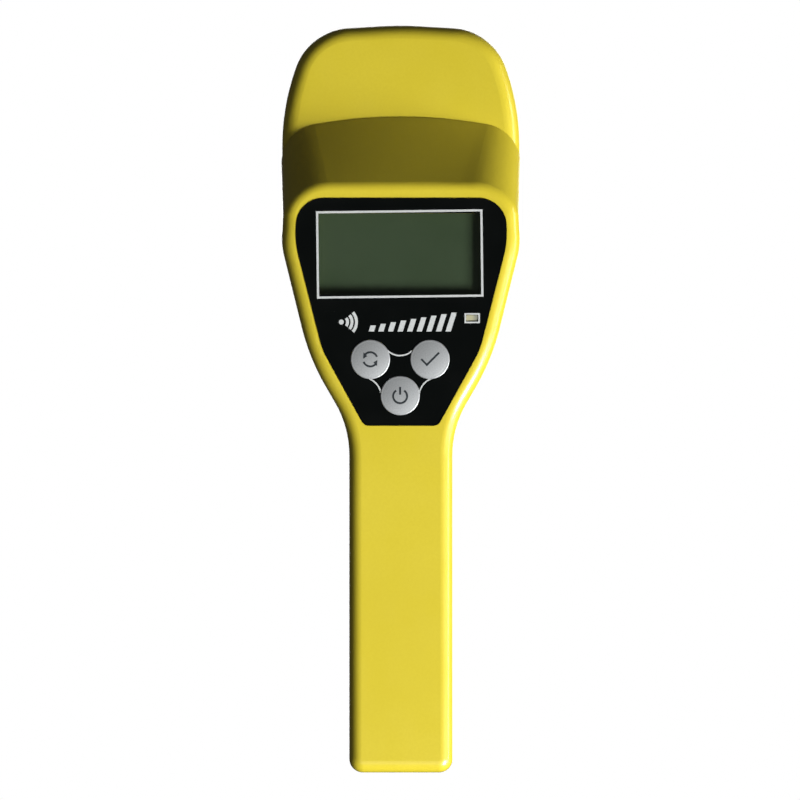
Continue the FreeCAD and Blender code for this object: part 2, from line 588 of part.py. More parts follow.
def board_connectors():
    """The sockets for the battery leads and for the radar lead."""
    battery = block(
        BATTERY_SOCKET_X - BATTERY_SOCKET_WIDE / 2, BATTERY_SOCKET_X + BATTERY_SOCKET_WIDE / 2,
        BOARD_BACK_Y, BOARD_BACK_Y + BATTERY_SOCKET_DEEP,
        BATTERY_SOCKET_Z, BATTERY_SOCKET_Z + BATTERY_SOCKET_HIGH)
    radar = block(
        RADAR_SOCKET_X - RADAR_SOCKET_WIDE / 2, RADAR_SOCKET_X + RADAR_SOCKET_WIDE / 2,
        BOARD_BACK_Y, BOARD_BACK_Y + RADAR_SOCKET_DEEP, RADAR_SOCKET_Z - RADAR_SOCKET_HIGH, RADAR_SOCKET_Z)
    return Part.makeCompound([battery, radar])


def buzzer():
    """The round sounder, with its sound hole."""
    body = rod(BUZZER_R, *BUZZER_PLACE, BUZZER_TALL)
    x, y, z = BUZZER_PLACE
    top_y = y + BUZZER_TALL
    rim = edges_where(body, lambda m, points: all(abs(p.y - top_y) < 0.001 for p in points))
    body = body.makeFillet(BUZZER_EDGE_R, rim)
    hole_deep = BUZZER_TALL / 4
    return body.cut(rod(SOUND_HOLE_R, x, top_y - hole_deep, z, hole_deep))


# ---- the radar ----
def radome_outline(smaller):
    return inset(rectangle(RADOME_WIDE, RADOME_HIGH, RADOME_R, 0, RADOME_Z), smaller)


def horn_screw_places():
    return [(sx * HORN_SCREW_X, RADOME_Z + sz * HORN_SCREW_Z) for sx in (-1, 1) for sz in (-1, 1)]


def module_screw_places():
    return [(sx * MODULE_SCREW, RADOME_Z + sz * MODULE_SCREW) for sx in (-1, 1) for sz in (-1, 1)]


def module_outline():
    return rectangle(MODULE_SIDE, MODULE_SIDE, MODULE_CORNER_R, 0, RADOME_Z)


def radome():
    """The cover the radar looks through: a plate with a plug that fills the opening."""
    face_y = HEAD_BACK_Y - RADOME_REBATE + RADOME_GASKET
    face = plate(radome_outline(RADOME_GAP), face_y, HEAD_BACK_Y - face_y)
    plug_y = HEAD_BACK_Y - WALL
    plug = plate(radome_outline(RADOME_LIP + RADOME_GAP), plug_y, face_y - plug_y)
    return joined([face, plug])


def radome_gasket():
    seat_y = HEAD_BACK_Y - RADOME_REBATE
    ring = plate(radome_outline(RADOME_GAP), seat_y, RADOME_GASKET)
    return ring.cut(plate(radome_outline(RADOME_LIP), seat_y, RADOME_GASKET))


def square_cone(start, end, y0, y1):
    """A square tube's solid that widens from side start at y0 to side end at y1."""
    near = rounded_wire(rectangle(start, start, HORN_CORNER_R, 0, RADOME_Z), in_front_view(y0))
    far = rounded_wire(rectangle(end, end, HORN_CORNER_R, 0, RADOME_Z), in_front_view(y1))
    return Part.makeLoft([near, far], True, True)


def antenna_horn():
    """The flared square horn, with a flange at its mouth and one at its throat."""
    mouth_y = HEAD_BACK_Y - WALL - HORN_POST
    throat_y = MODULE_Y + MODULE_THICK
    flare = square_cone(HORN_THROAT + 2 * HORN_WALL, HORN_MOUTH + 2 * HORN_WALL, throat_y, mouth_y)
    flange_wide = 2 * (HORN_SCREW_X + HORN_FLANGE_MARGIN_X)
    flange_high = 2 * (HORN_SCREW_Z + HORN_FLANGE_MARGIN_Z)
    mouth_flange = plate(
        rectangle(flange_wide, flange_high, 2 * MODULE_CORNER_R, 0, RADOME_Z),
        mouth_y - HORN_FLANGE_THICK, HORN_FLANGE_THICK)
    throat_flange = plate(module_outline(), throat_y, HORN_FLANGE_THICK)
    horn = joined([flare, mouth_flange, throat_flange])
    hollow = square_cone(HORN_THROAT, HORN_MOUTH, throat_y, mouth_y)
    screws = [rod(BOARD_HOLE_R, x, throat_y, z, mouth_y - throat_y) for x, z in horn_screw_places()]
    screws += [rod(BOARD_HOLE_R, x, throat_y, z, HORN_FLANGE_THICK) for x, z in module_screw_places()]
    tubes = [rod(CASE_RECESS_R + HORN_TUBE_SPACE, x, throat_y, z, mouth_y - throat_y) for x, z in CASE_SCREWS]
    return without(horn, hollow, *screws, *tubes)


def microwave_module():
    """The radar's transmitter and receiver in one flat case, with a row of pins in a plastic block."""
    case = plate(module_outline(), MODULE_Y, MODULE_THICK)
    left = HEADER_X - HEADER_WIDE / 2
    low = header_z() - HEADER_HIGH / 2
    header = block(left, left + HEADER_WIDE, MODULE_Y - HEADER_TALL, MODULE_Y, low, low + HEADER_HIGH)
    hole_y = MODULE_Y + MODULE_THICK - MODULE_HOLE_LONG
    holes = [rod(PILOT_R, x, hole_y, z, MODULE_HOLE_LONG) for x, z in module_screw_places()]
    return without(joined([case, header]), *holes)


def header_z():
    """Height of the middle of the module's row of pins."""
    return RADOME_Z - MODULE_SIDE / 2 + HEADER_HIGH / 2 + 1


# ---- fasteners and leads ----
def screw(x, z, seat_y, long, shank_r, way):
    """A pan-head screw along Y: its head stands on seat_y and its shank runs the other way."""
    head_r, head_tall = 2.1 * shank_r, 1.4 * shank_r
    axis = Vector(0, way, 0)
    start = Vector(x, seat_y, z)
    head = Part.makeCylinder(head_r, head_tall, start, axis)
    top_y = seat_y + way * head_tall
    rim = edges_where(head, lambda m, points: all(abs(p.y - top_y) < 0.001 for p in points))
    head = head.makeFillet(0.4 * head_tall, rim)
    shank = Part.makeCylinder(shank_r, long, start, axis * -1)
    arm, slot, deep = 1.2 * shank_r, 0.28 * shank_r, 0.6 * head_tall
    low, high = sorted((top_y - way * deep, top_y + way))
    cross = [block(x - arm, x + arm, low, high, z - slot, z + slot)]
    cross += [block(x - slot, x + slot, low, high, z - arm, z + arm)]
    return without(joined([head, shank]), *cross)


def case_screws():
    """The five screws sunk in the back that hold the two shells together."""
    shank_r = CASE_PILOT_R - SCREW_FIT
    long = CASE_LEDGE + CASE_BITE - SCREW_END_GAP
    return Part.makeCompound([screw(x, z, PARTING_Y + CASE_LEDGE, long, shank_r, 1) for x, z in CASE_SCREWS])


def board_screws():
    shank_r = PILOT_R - SCREW_FIT
    long = BOARD_THICK + PILOT_LONG - SCREW_END_GAP
    return Part.makeCompound([screw(x, z, BOARD_BACK_Y, long, shank_r, 1) for x, z in board_post_places()])


def horn_screws():
    seat_y = HEAD_BACK_Y - WALL - HORN_POST - HORN_FLANGE_THICK
    shank_r = PILOT_R - SCREW_FIT
    long = HORN_FLANGE_THICK + HORN_POST - SCREW_END_GAP
    return Part.makeCompound([screw(x, z, seat_y, long, shank_r, -1) for x, z in horn_screw_places()])


def module_screws():
    seat_y = MODULE_Y + MODULE_THICK + HORN_FLANGE_THICK
    long = HORN_FLANGE_THICK + MODULE_BITE
    return Part.makeCompound([screw(x, z, seat_y, long, MODULE_SCREW_R, 1) for x, z in module_screw_places()])


def tripod_insert():
    """The threaded brass insert in the handle's lower end."""
    barrel = Part.makeCylinder(INSERT_R, INSERT_LONG)
    return barrel.cut(Part.makeCylinder(INSERT_BORE_R, INSERT_LONG))


def lead(points, radius, bend):
    """An insulated wire through the points, with a round bend at each one between its ends."""
    stops = [Vector(*p) for p in points]
    edges = []
    start = stops[0]
    for i in range(1, len(stops) - 1):
        back = (stops[i - 1] - stops[i]).normalize()
        ahead = (stops[i + 1] - stops[i]).normalize()
        half_angle = back.getAngle(ahead) / 2
        reach = bend / math.tan(half_angle)
        inward = (back + ahead).normalize()
        middle = stops[i] + inward * (bend / math.sin(half_angle) - bend)
        edges.append(Part.LineSegment(start, stops[i] + back * reach).toShape())
        edges.append(Part.Arc(stops[i] + back * reach, middle, stops[i] + ahead * reach).toShape())
        start = stops[i] + ahead * reach
    edges.append(Part.LineSegment(start, stops[-1]).toShape())
    circle = Part.Wire(Part.makeCircle(radius, stops[0], stops[1] - stops[0]))
    return Part.Wire(edges).makePipeShell([circle], True, False)


def battery_lead(tray_x, socket_x):
    """A lead from the tray's top to the battery socket."""
    socket_y = BOARD_BACK_Y + BATTERY_SOCKET_DEEP / 2
    return lead([
        (tray_x, LEAD_Y, TRAY_TOP_Z), (tray_x, LEAD_Y, TRAY_TOP_Z + LEAD_RISE),
        (socket_x, socket_y, BATTERY_SOCKET_Z - LEAD_RISE), (socket_x, socket_y, BATTERY_SOCKET_Z),
    ], LEAD_R, LEAD_BEND)


def radar_lead():
    """The lead from the board up to the radar module's pins."""
    socket_y = BOARD_BACK_Y + RADAR_SOCKET_DEEP / 2
    header_y = MODULE_Y - HEADER_TALL
    turn_y = (socket_y + header_y) / 2
    return lead([
        (RADAR_SOCKET_X, socket_y, RADAR_SOCKET_Z), (RADAR_SOCKET_X, socket_y, header_z()),
        (HEADER_X, turn_y, header_z()), (HEADER_X, header_y, header_z()),
    ], RADAR_LEAD_R, RADAR_LEAD_BEND)


# ---- the assembly: every sub-part under its name ----
def sub_parts():
    parts = {
        "front_shell": front_shell(),
        "rear_shell": rear_shell(),
        "battery_door": battery_door(),
        "battery_tray": battery_tray(),
        "aa_cells": aa_cells(),
        "battery_contacts": battery_contacts(),
        "battery_lead_red": battery_lead(-12.5, -8.5),
        "battery_lead_black": battery_lead(-7.5, -4.5),
        "graphic_overlay": graphic_overlay(),
        "display_window": window(display_opening(), WINDOW_LEDGE),
        "led_window": window(led_opening(), LED_LEDGE),
        "lcd_gasket": lcd_gasket(),
        "lcd_front_glass": lcd_front_glass(),
        "lcd_rear_glass": lcd_rear_glass(),
        "lcd_pins": lcd_pins(),
        "tact_switches": tact_switches(),
        "indicator_led": indicator_led(),
        "main_board": main_board(),
        "board_chips": board_chips(),
        "board_connectors": board_connectors(),
        "board_screws": board_screws(),
        "buzzer": buzzer(),
        "microwave_module": microwave_module(),
        "module_screws": module_screws(),
        "antenna_horn": antenna_horn(),
        "horn_screws": horn_screws(),
        "radome": radome(),
        "radome_gasket": radome_gasket(),
        "radar_lead": radar_lead(),
        "case_screws": case_screws(),
        "tripod_insert": tripod_insert(),
    }
    for name, (x, z) in KEYS.items():
        parts[name + "_key"] = key_cap(x, z)
        parts[name + "_plunger"] = key_plunger(x, z)
    return parts


def main():
    os.makedirs("parts", exist_ok=True)
    for name, shape in sub_parts().items():
        shape.exportStep(os.path.join("parts", name + ".step"))
        print(name, shape.ShapeType, len(shape.Solids), "valid" if shape.isValid() else "INVALID",
              round(shape.Volume))


main()
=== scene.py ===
"""Looks of the hand-held speed radar gun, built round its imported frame.

Metres, in the frame's own axes: +Z up the handle, the display faces -Y, the radar looks along +Y.
"""
import bpy
import math
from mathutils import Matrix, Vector


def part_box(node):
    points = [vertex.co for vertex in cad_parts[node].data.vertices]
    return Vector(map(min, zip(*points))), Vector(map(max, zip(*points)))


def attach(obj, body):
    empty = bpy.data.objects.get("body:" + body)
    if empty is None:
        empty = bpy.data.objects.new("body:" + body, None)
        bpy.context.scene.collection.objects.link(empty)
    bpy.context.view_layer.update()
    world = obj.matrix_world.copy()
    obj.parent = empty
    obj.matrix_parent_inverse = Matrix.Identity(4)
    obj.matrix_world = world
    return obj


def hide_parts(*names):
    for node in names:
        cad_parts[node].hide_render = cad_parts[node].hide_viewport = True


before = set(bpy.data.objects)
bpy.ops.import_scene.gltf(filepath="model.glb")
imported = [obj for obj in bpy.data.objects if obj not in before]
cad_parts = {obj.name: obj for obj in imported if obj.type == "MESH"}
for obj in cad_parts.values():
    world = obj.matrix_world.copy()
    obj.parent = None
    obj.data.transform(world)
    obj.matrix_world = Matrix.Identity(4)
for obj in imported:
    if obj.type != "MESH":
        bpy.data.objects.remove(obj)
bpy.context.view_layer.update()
MM = 0.001

# ---- places and sizes, taken from the frame ----
OVERLAY_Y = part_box("graphic_overlay")[0].y
PRINT_Y = OVERLAY_Y                      # printed lines lie on the overlay's face
INK_TALL = 0.03 * MM                     # how far a printed line stands off what it is printed on


def middle(node):
    """The middle of a node's box at rest."""
    low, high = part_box(node)
    return (low + high) / 2


DISPLAY = middle("display_window")
LAMP = middle("led_window")
KEY_NAMES = ("mode", "set", "on")
KEY_PLACES = {name: middle(name + "_key") for name in KEY_NAMES}
KEY_TOP_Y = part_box("on_key")[0].y
KEY_BACK_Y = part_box("on_key")[1].y
KEY_R = 7.05 * MM
FLANGE_R = (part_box("on_key")[1].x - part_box("on_key")[0].x) / 2
FLANGE_THICK = 0.8 * MM
FLANGE_Y = KEY_BACK_Y - FLANGE_THICK


# ---- building node materials ----
class Shader:
    """A material's node tree under construction. Most of its calls add nodes and return an output."""

    def __init__(self, name):
        self.material = bpy.data.materials.new(name)
        self.material.use_nodes = True
        self.tree = self.material.node_tree
        self.tree.nodes.clear()
        self.output = self.tree.nodes.new("ShaderNodeOutputMaterial")
        self.place = self.add("ShaderNodeTexCoord").outputs["Object"]

    def add(self, kind, settings=None, **inputs):
        """One node, with its settings, and its inputs given as values or joined to outputs."""
        node = self.tree.nodes.new(kind)
        for key, value in (settings or {}).items():
            setattr(node, key, value)
        for key, value in inputs.items():
            socket = node.inputs[key.replace("_", " ")]
            if isinstance(value, bpy.types.NodeSocket):
                self.tree.links.new(value, socket)
            else:
                socket.default_value = value
        return node

    def noise(self, size, detail=2.0, roughness=0.5):
        """Cloudy noise from 0 to 1 whose patches are about that size across."""
        return self.add("ShaderNodeTexNoise", Vector=self.place, Scale=0.5 / size, Detail=detail,
                        Roughness=roughness).outputs["Fac"]

    def ramp(self, value, low, high, to_low=0.0, to_high=1.0):
        """Value's stretch from low to high spread over to_low to to_high, and held outside it."""
        node = self.add("ShaderNodeMapRange", {"interpolation_type": "SMOOTHSTEP"}, Value=value)
        node.inputs["From Min"].default_value = low
        node.inputs["From Max"].default_value = high
        node.inputs["To Min"].default_value = to_low
        node.inputs["To Max"].default_value = to_high
        return node.outputs[0]

    def math(self, operation, a, b):
        """One sum of two values."""
        node = self.add("ShaderNodeMath", {"operation": operation})
        for socket, value in zip(node.inputs, (a, b)):
            if isinstance(value, bpy.types.NodeSocket):
                self.tree.links.new(value, socket)
            else:
                socket.default_value = value
        return node.outputs[0]

    def mix(self, share, first, second):
        """Colour between first and second."""
        node = self.add("ShaderNodeMix", {"data_type": "RGBA"})
        sockets = (node.inputs["Factor"], node.inputs[6], node.inputs[7])
        for socket, value in zip(sockets, (share, first, second)):
            if isinstance(value, bpy.types.NodeSocket):
                self.tree.links.new(value, socket)
            else:
                socket.default_value = (*value, 1) if isinstance(value, tuple) else value
        return node.outputs[2]

    def specks(self, spacing, share, size):
        """1 in small round specks, in that share of cells of that spacing, and 0 elsewhere."""
        cells = self.add("ShaderNodeTexVoronoi", Vector=self.place, Scale=1 / spacing)
        near = self.ramp(cells.outputs["Distance"], 0.5 * size / spacing, size / spacing, 1, 0)
        pick = self.add("ShaderNodeSeparateColor", Color=cells.outputs["Color"]).outputs[0]
        return self.math("MULTIPLY", near, self.math("LESS_THAN", pick, share))

    def bump(self, height, depth, under=None):
        """A surface raised by height, from 0 to 1, times depth, on top of the bumps under it."""
        inputs = {"Height": height, "Distance": depth, "Strength": 1.0}
        if under is not None:
            inputs["Normal"] = under
        return self.add("ShaderNodeBump", **inputs).outputs[0]

    def surface(self, **inputs):
        """The Principled surface that the material ends in."""
        shader = self.add("ShaderNodeBsdfPrincipled", **inputs)
        self.tree.links.new(shader.outputs[0], self.output.inputs[0])
        return self.material


def moulded_plastic(name, colour, worn, roughness, grain=0.9 * MM):
    """Moulded plastic: faint patches of a second shade, uneven gloss and an orange-peel skin."""
    s = Shader(name)
    patches = s.ramp(s.noise(14 * MM, 4), 0.35, 0.65)
    fine = s.noise(0.5 * MM, 3)
    shade = s.mix(s.math("MULTIPLY", patches, 0.5), colour, worn)
    shade = s.mix(s.ramp(fine, 0.3, 0.7, 0.0, 0.12), shade, worn)
    gloss = s.ramp(s.noise(6 * MM, 3), 0.3, 0.7, roughness * 0.9, roughness * 1.12)
    skin = s.bump(s.noise(grain, 2), 0.004 * MM)
    return s.surface(Base_Color=shade, Roughness=gloss, Normal=skin)


def shell_yellow():
    """Satin yellow plastic with a few dark moulding specks."""
    s = Shader("shell_yellow")
    patches = s.ramp(s.noise(22 * MM, 4), 0.3, 0.7)
    fine = s.ramp(s.noise(0.45 * MM, 3), 0.25, 0.75)
    shade = s.mix(patches, (0.745, 0.605, 0.036), (0.775, 0.632, 0.042))
    shade = s.mix(s.math("MULTIPLY", fine, 0.35), shade, (0.71, 0.565, 0.030))
    dirt = s.specks(9 * MM, 0.025, 0.35 * MM)
    shade = s.mix(s.math("MULTIPLY", dirt, 0.7), shade, (0.06, 0.045, 0.02))
    gloss = s.ramp(s.noise(5 * MM, 3), 0.3, 0.7, 0.30, 0.38)
    skin = s.bump(s.noise(0.7 * MM, 2), 0.006 * MM)
    skin = s.bump(s.math("MULTIPLY", dirt, -1.0), 0.05 * MM, skin)
    return s.surface(Base_Color=shade, Roughness=gloss, Normal=skin, IOR=1.55, Coat_Weight=1.0,
                     Coat_Roughness=0.24)


def panel_black():
    """Glossy black film with faint smears and dust."""
    s = Shader("panel_black")
    dust = s.specks(1.6 * MM, 0.10, 0.10 * MM)
    shade = s.mix(s.math("MULTIPLY", dust, 0.3), (0.0020, 0.0028, 0.0026), (0.10, 0.10, 0.095))
    gloss = s.ramp(s.noise(9 * MM, 4), 0.3, 0.7, 0.13, 0.22)
    skin = s.bump(s.noise(2.5 * MM, 3), 0.004 * MM)
    return s.surface(Base_Color=shade, Roughness=gloss, Normal=skin)


def silver_print():
    """Fine-grained silver ink."""
    s = Shader("silver_print")
    grain = s.ramp(s.noise(0.12 * MM, 3, 0.7), 0.3, 0.7)
    shade = s.mix(grain, (0.60, 0.63, 0.62), (0.78, 0.80, 0.79))
    skin = s.bump(grain, 0.004 * MM)
    return s.surface(Base_Color=shade, Roughness=0.5, Metallic=0.25, Normal=skin)


def key_silver():
    """Silver-painted key: metal flakes and faint patches of light wear."""
    s = Shader("key_silver")
    grain = s.ramp(s.noise(0.16 * MM, 3, 0.7), 0.25, 0.75)
    patches = s.ramp(s.noise(3 * MM, 3), 0.3, 0.7)
    shade = s.mix(grain, (0.54, 0.56, 0.57), (0.72, 0.745, 0.755))
    shade = s.mix(s.math("MULTIPLY", patches, 0.3), shade, (0.62, 0.64, 0.64))
    gloss = s.ramp(grain, 0.0, 1.0, 0.50, 0.38)
    skin = s.bump(grain, 0.006 * MM)
    return s.surface(Base_Color=shade, Roughness=gloss, Metallic=0.7, Normal=skin)


def ink_black():
    """The dark print on the keys."""
    s = Shader("ink_black")
    grain = s.ramp(s.noise(0.15 * MM, 3), 0.3, 0.7)
    shade = s.mix(grain, (0.012, 0.017, 0.022), (0.03, 0.037, 0.042))
    return s.surface(Base_Color=shade, Roughness=0.45, Normal=s.bump(grain, 0.003 * MM))


def display_glass():
    """Unlit grey-green liquid-crystal glass, a little uneven."""
    s = Shader("display_glass")
    patches = s.ramp(s.noise(16 * MM, 4), 0.3, 0.7)
    fine = s.noise(0.3 * MM, 2)
    shade = s.mix(patches, (0.058, 0.086, 0.044), (0.070, 0.098, 0.054))
    shade = s.mix(s.ramp(fine, 0.3, 0.7, 0.0, 0.2), shade, (0.050, 0.074, 0.038))
    return s.surface(Base_Color=shade, Roughness=0.28, Normal=s.bump(fine, 0.001 * MM))


def clear_plastic():
    """A clear window: see-through, with a weak sharp reflection and faint smears."""
    s = Shader("clear_plastic")
    smear = s.ramp(s.noise(7 * MM, 4), 0.4, 0.7, 0.04, 0.14)
    clear = s.add("ShaderNodeBsdfTransparent", Color=(0.93, 0.95, 0.94, 1)).outputs[0]
    gloss = s.add("ShaderNodeBsdfGlossy", Color=(1, 1, 1, 1), Roughness=smear).outputs[0]
    facing = s.add("ShaderNodeLayerWeight", Blend=0.5).outputs["Facing"]
    edge_on = s.math("ADD", s.math("MULTIPLY", s.math("POWER", facing, 5.0), 0.9), 0.035)
    both = s.add("ShaderNodeMixShader", Fac=edge_on)
    s.tree.links.new(clear, both.inputs[1])
    s.tree.links.new(gloss, both.inputs[2])
    s.tree.links.new(both.outputs[0], s.output.inputs[0])
    return s.material


def metal(name, colour, worn, roughness, grain=0.4 * MM):
    """Bare or plated metal with fine grain and dull patches."""
    s = Shader(name)
    patches = s.ramp(s.noise(4 * MM, 4), 0.3, 0.7)
    fine = s.ramp(s.noise(grain, 3, 0.6), 0.3, 0.7)
    shade = s.mix(patches, colour, worn)
    gloss = s.ramp(fine, 0.0, 1.0, roughness * 0.8, roughness * 1.25)
    return s.surface(Base_Color=shade, Roughness=gloss, Metallic=1.0, Normal=s.bump(fine, 0.004 * MM))


def foam():
    """Open-celled foam."""
    s = Shader("foam")
    cells = s.add("ShaderNodeTexVoronoi", Vector=s.place, Scale=1 / (0.35 * MM)).outputs["Distance"]
    shade = s.mix(cells, (0.012, 0.012, 0.013), (0.05, 0.05, 0.052))
    return s.surface(Base_Color=shade, Roughness=0.95, Normal=s.bump(cells, 0.08 * MM))


def circuit_board():
    """Green solder mask over copper tracks."""
    s = Shader("circuit_board")
    turned = s.add("ShaderNodeMapping", Vector=s.place, Rotation=(math.pi / 2, 0, 0)).outputs[0]
    brick = s.add("ShaderNodeTexBrick", {"offset": 0.37}, Vector=turned, Scale=1 / (4 * MM))
    brick.inputs["Mortar Size"].default_value = 0.06
    track = brick.outputs["Fac"]
    shade = s.mix(track, (0.008, 0.085, 0.028), (0.03, 0.20, 0.06))
    shade = s.mix(s.ramp(s.noise(3 * MM, 3), 0.3, 0.7, 0.0, 0.4), shade, (0.006, 0.06, 0.022))
    return s.surface(Base_Color=shade, Roughness=0.3, Normal=s.bump(track, 0.03 * MM))


def cell_wrap():
    """Printed foil wrap in two plain colours, split partway along each cell."""
    s = Shader("cell_wrap")
    height = s.add("ShaderNodeSeparateXYZ", Vector=s.place).outputs["Z"]
    cell_long, dark_long = 50.5 * MM, 36 * MM
    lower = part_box("aa_cells")[0].z
    along = s.math("MODULO", s.math("SUBTRACT", height, lower), cell_long)
    band = s.math("GREATER_THAN", along, dark_long)
    shade = s.mix(band, (0.012, 0.014, 0.02), (0.62, 0.33, 0.12))
    gloss = s.ramp(s.noise(2 * MM, 3), 0.3, 0.7, 0.22, 0.34)
    skin = s.bump(s.noise(3 * MM, 2), 0.02 * MM)
    return s.surface(Base_Color=shade, Roughness=gloss, Metallic=0.5, Normal=skin)


def radome_black():
    """Black plastic with a spark-eroded texture."""
    s = Shader("radome_black")
    grain = s.noise(0.28 * MM, 3, 0.6)
    coarse = s.ramp(s.noise(12 * MM, 3), 0.3, 0.7)
    shade = s.mix(coarse, (0.016, 0.016, 0.017), (0.024, 0.024, 0.025))
    skin = s.bump(grain, 0.035 * MM)
    return s.surface(Base_Color=shade, Roughness=0.55, Normal=skin)


def lamp_body():
    """The lamp's off-white ceramic case."""
    s = Shader("lamp_body")
    grain = s.noise(0.2 * MM, 3)
    shade = s.mix(s.ramp(grain, 0.3, 0.7), (0.62, 0.58, 0.46), (0.72, 0.68, 0.56))
    return s.surface(Base_Color=shade, Roughness=0.4, Normal=s.bump(grain, 0.006 * MM))


def milky_lens():
    """Milky plastic over the lamp, with painted shade: darker and greyer towards the right, lighter and
    yellower at the left.
    """
    s = Shader("milky_lens")
    cloud = s.ramp(s.noise(1.3 * MM, 3), 0.35, 0.65)
    across = s.add("ShaderNodeSeparateXYZ", Vector=s.place).outputs["X"]
    # painted shade: this share is 1 at the left and falls to 0 at the right, where the lens is painted
    # darker and greyer
    lamp = s.ramp(across, LAMP.x - 0.2 * MM, LAMP.x + 1.0 * MM, 1, 0)       # 1 at the left, 0 at the right
    shade = s.mix(lamp, (0.30, 0.31, 0.26), (0.53, 0.51, 0.32))
    shade = s.mix(s.math("MULTIPLY", cloud, 0.4), shade, (0.46, 0.44, 0.28))
    return s.surface(Base_Color=shade, Roughness=0.25, Normal=s.bump(cloud, 0.01 * MM))


MATERIALS = {
    "shell_yellow": shell_yellow(),
    "tray_black": moulded_plastic("tray_black", (0.020, 0.020, 0.021), (0.034, 0.034, 0.035), 0.5),
    "cell_wrap": cell_wrap(),
    "contact_metal": metal("contact_metal", (0.74, 0.72, 0.68), (0.62, 0.60, 0.56), 0.25),
    "lead_red": moulded_plastic("lead_red", (0.45, 0.02, 0.015), (0.36, 0.015, 0.012), 0.4, 0.6 * MM),
    "lead_black": moulded_plastic("lead_black", (0.015, 0.015, 0.016), (0.03, 0.03, 0.03), 0.4, 0.6 * MM),
    "panel_black": panel_black(),
    "clear_plastic": clear_plastic(),
    "foam": foam(),
    "display_glass": display_glass(),
    "chip_black": moulded_plastic("chip_black", (0.018, 0.018, 0.019), (0.03, 0.03, 0.031), 0.55, 0.4 * MM),
    "lamp_body": lamp_body(),
    "circuit_board": circuit_board(),
    "socket_white": moulded_plastic("socket_white", (0.72, 0.70, 0.64), (0.64, 0.61, 0.54), 0.45),
    "screw_steel": metal("screw_steel", (0.40, 0.39, 0.38), (0.30, 0.29, 0.29), 0.32),
    "module_case": metal("module_case", (0.62, 0.62, 0.61), (0.52, 0.52, 0.51), 0.35),
    "cast_metal": metal("cast_metal", (0.55, 0.55, 0.55), (0.46, 0.46, 0.46), 0.5, 0.8 * MM),
    "radome_black": radome_black(),
    "insert_brass": metal("insert_brass", (0.72, 0.52, 0.22), (0.58, 0.40, 0.16), 0.28),
    "key_silver": key_silver(),
    "silver_print": silver_print(),
    "ink_black": ink_black(),
    "milky_lens": milky_lens(),
}


# ---- meshes ----
def new_piece(name, points, faces, body, slot, finish, crease=35):
    """A mesh piece with a material, smooth but for edges sharper than crease degrees, riding on a body."""
    mesh = bpy.data.meshes.new(name)
    mesh.from_pydata([tuple(p) for p in points], [], faces)
    mesh.validate()
    mesh.materials.append(MATERIALS[finish])
    mesh.polygons.foreach_set("use_smooth", [True] * len(mesh.polygons))
    mesh.set_sharp_from_angle(angle=math.radians(crease))
    piece = bpy.data.objects.new(name, mesh)
    bpy.context.scene.collection.objects.link(piece)
    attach(piece, body)
    return piece


def arc(centre, radius, start, end, steps=24):
    """Points (x, z) along an arc, from one angle to another in degrees, anticlockwise when end > start."""
    angles = [math.radians(start + (end - start) * i / steps) for i in range(steps + 1)]
    return [(centre[0] + radius * math.cos(a), centre[1] + radius * math.sin(a)) for a in angles]


def stroke(path, width, y, closed=False):
    """Points and faces of a printed line along (x, z) points, flat-topped, standing off y towards -Y."""
    count = len(path)
    rails = []
    for i, (x, z) in enumerate(path):
        here = Vector((x, z))
        before = Vector(path[i - 1]) if closed or i > 0 else None
        after = Vector(path[(i + 1) % count]) if closed or i < count - 1 else None
        into = (here - before).normalized() if before else (after - here).normalized()
        out = (after - here).normalized() if after else into
        side = Vector((-into.y - out.y, into.x + out.x))
        side = side / max(side.length_squared / 2, 0.2)
        for share, height in ((-1, 0), (-0.94, 1), (0.94, 1), (1, 0)):
            p = here + side * (share * width / 2)
            rails.append((p.x, y - INK_TALL * height, p.y))
    faces = []
    for i in range(count if closed else count - 1):
        a, b = 4 * i, 4 * ((i + 1) % count)
        faces += [(a + k, a + k + 1, b + k + 1, b + k) for k in range(3)]
        faces.append((a + 3, a, b, b + 3))
    if not closed:
        last = 4 * (count - 1)
        faces += [(3, 2, 1, 0), (last, last + 1, last + 2, last + 3)]
    return rails, faces


def fill(outline, y):
    """Points and faces of a printed patch inside an outline of (x, z) points, listed anticlockwise."""
    count = len(outline)
    points = [(x, y - INK_TALL, z) for x, z in outline] + [(x, y, z) for x, z in outline]
    faces = [tuple(range(count)), tuple(range(2 * count - 1, count - 1, -1))]
    faces += [(i, i + count, (i + 1) % count + count, (i + 1) % count) for i in range(count)]
    return points, faces


def together(*shapes):
    """One list of points and faces from several."""
    points, faces = [], []
    for more_points, more_faces in shapes:
        start = len(points)
        points += list(more_points)
        faces += [tuple(start + i for i in face) for face in more_faces]
    return points, faces


def lathe(profile, centre, steps=96):
    """Points and faces of a (radius, y) profile turned about the line along Y through centre."""
    points, faces = [], []
    for radius, y in profile:
        points += [(centre.x + radius * math.cos(a), y, centre.z + radius * math.sin(a))
                   for a in (2 * math.pi * i / steps for i in range(steps))]
    for row in range(len(profile) - 1):
        for i in range(steps):
            a, b = row * steps + i, row * steps + (i + 1) % steps
            faces.append((a, b, b + steps, a + steps))
    faces.append(tuple(range(steps - 1, -1, -1)))
    last = (len(profile) - 1) * steps
    faces.append(tuple(range(last, last + steps)))
    return points, faces


def rectangle(centre, wide, high):
    """Its four corners (x, z), anticlockwise."""
    x, z = centre
    return [(x - wide / 2, z - high / 2), (x + wide / 2, z - high / 2),
            (x + wide / 2, z + high / 2), (x - wide / 2, z + high / 2)]


